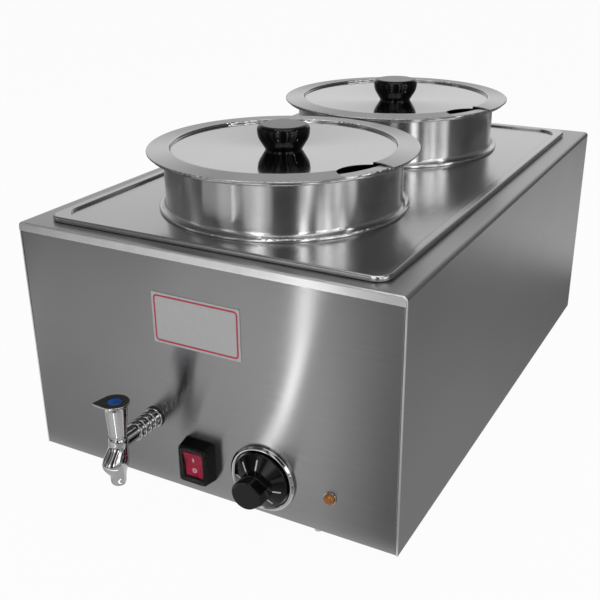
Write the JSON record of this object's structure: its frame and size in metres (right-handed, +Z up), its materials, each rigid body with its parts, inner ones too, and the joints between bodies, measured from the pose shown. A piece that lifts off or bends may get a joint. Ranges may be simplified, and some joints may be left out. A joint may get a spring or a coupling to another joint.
{
  "type": "electric food warmer",
  "caption": "Counter-top electric wet-well food warmer: folded stainless body, adaptor plate with lidded round pots, and a front drain tap, rocker switch, thermostat dial and pilot lamp.",
  "frame": {"origin": "centre of the body's footprint, on the surface that the feet stand on", "axes": "+Z up, -Y to the front with the controls, +X to the right of someone facing the front"},
  "size_m": [0.368, 0.652, 0.3126],
  "materials": {
    "satin_steel": "satin stainless steel with a fine grain",
    "polished_steel": "bright stainless steel",
    "galvanised_steel": "dull galvanised sheet",
    "zinc_steel": "bright zinc plate",
    "chrome": "bright chrome plate",
    "brass": "plain cast brass",
    "black_gloss": "glossy phenolic",
    "black_matte": "dull moulding",
    "red_plastic": "clear red moulding",
    "clear_plastic": "clear soft cap",
    "amber_lens": "amber lens",
    "blue_plastic": "blue moulding",
    "rubber": "black rubber",
    "element_steel": "oxidised sheath",
    "aluminium": "mill finish",
    "copper": "drawn copper",
    "cream_plastic": "cream moulding",
    "wire_sleeve": "heat-proof sleeve",
    "label": "bare enamelled plate with a plain border"
  },
  "bodies": {
    "base": {"body_wrap": "satin_steel", "front_panel": "satin_steel", "rear_panel": "satin_steel", "water_well": "satin_steel", "base_plate": "galvanised_steel", "base_screws": "zinc_steel", "foot_screws": "zinc_steel", "foot_nuts": "zinc_steel", "thermostat_screws": "zinc_steel", "heater_studs": "zinc_steel", "heater_nuts": "zinc_steel", "pilot_nut": "zinc_steel", "bulb_clips": "zinc_steel", "terminal_screws": "zinc_steel", "earth_stud": "zinc_steel", "earth_nut": "zinc_steel", "tap_body": "chrome", "tap_bonnet": "chrome", "dial_bezel": "chrome", "pilot_body": "chrome", "drain_elbow": "brass", "tap_lock_nut": "brass", "switch_terminals": "brass", "switch_housing": "black_gloss", "thermostat_body": "black_matte", "overheat_cutout": "black_matte", "cord_gland": "black_matte", "gland_nut": "black_matte", "switch_cover": "clear_plastic", "pilot_lens": "amber_lens", "rubber_feet": "rubber", "tap_washers": "rubber", "heating_element": "element_steel", "element_pins": "element_steel", "heat_spreader": "aluminium", "thermostat_capillary": "copper", "terminal_block": "cream_plastic", "wiring": "wire_sleeve", "label_plate": "label"},
    "plate": {"adaptor_plate": "satin_steel"},
    "front_pot": {"front_pot": "polished_steel"},
    "rear_pot": {"rear_pot": "polished_steel"},
    "front_lid": {"front_lid": "polished_steel", "front_lid_knob": "black_gloss", "front_knob_screw": "zinc_steel"},
    "rear_lid": {"rear_lid": "polished_steel", "rear_lid_knob": "black_gloss", "rear_knob_screw": "zinc_steel"},
    "tap_handle": {"tap_handle": "chrome", "tap_cap": "blue_plastic", "tap_handle_screw": "zinc_steel", "tap_spindle": "brass"},
    "dial": {"thermostat_dial": "black_gloss", "thermostat_shaft": "zinc_steel"},
    "rocker": {"switch_rocker": "red_plastic"}
  },
  "joints": [
    {"name": "plate_lift", "type": "slide", "parent": "base", "child": "plate", "axis": [0, 0, 1], "range_m": [0, 0.15]},
    {"name": "front_pot_lift", "type": "slide", "parent": "plate", "child": "front_pot", "axis": [0, 0, 1], "range_m": [0, 0.2]},
    {"name": "rear_pot_lift", "type": "slide", "parent": "plate", "child": "rear_pot", "axis": [0, 0, 1], "range_m": [0, 0.2]},
    {"name": "front_lid_lift", "type": "slide", "parent": "front_pot", "child": "front_lid", "axis": [0, 0, 1], "range_m": [0, 0.15]},
    {"name": "rear_lid_lift", "type": "slide", "parent": "rear_pot", "child": "rear_lid", "axis": [0, 0, 1], "range_m": [0, 0.15]},
    {"name": "tap_turn", "type": "hinge", "parent": "base", "child": "tap_handle", "pos_m": [-0.05, -0.332, 0.084], "axis": [0, 0, 1], "range_deg": [0, 90]},
    {"name": "dial_turn", "type": "hinge", "parent": "base", "child": "dial", "pos_m": [0.0605, -0.282, 0.048], "axis": [0, 1, 0], "range_deg": [0, 270]},
    {"name": "rocker_tilt", "type": "hinge", "parent": "base", "child": "rocker", "pos_m": [-0.0025, -0.2895, 0.048], "axis": [-1, 0, 0], "range_deg": [0, 14]}
  ]
}
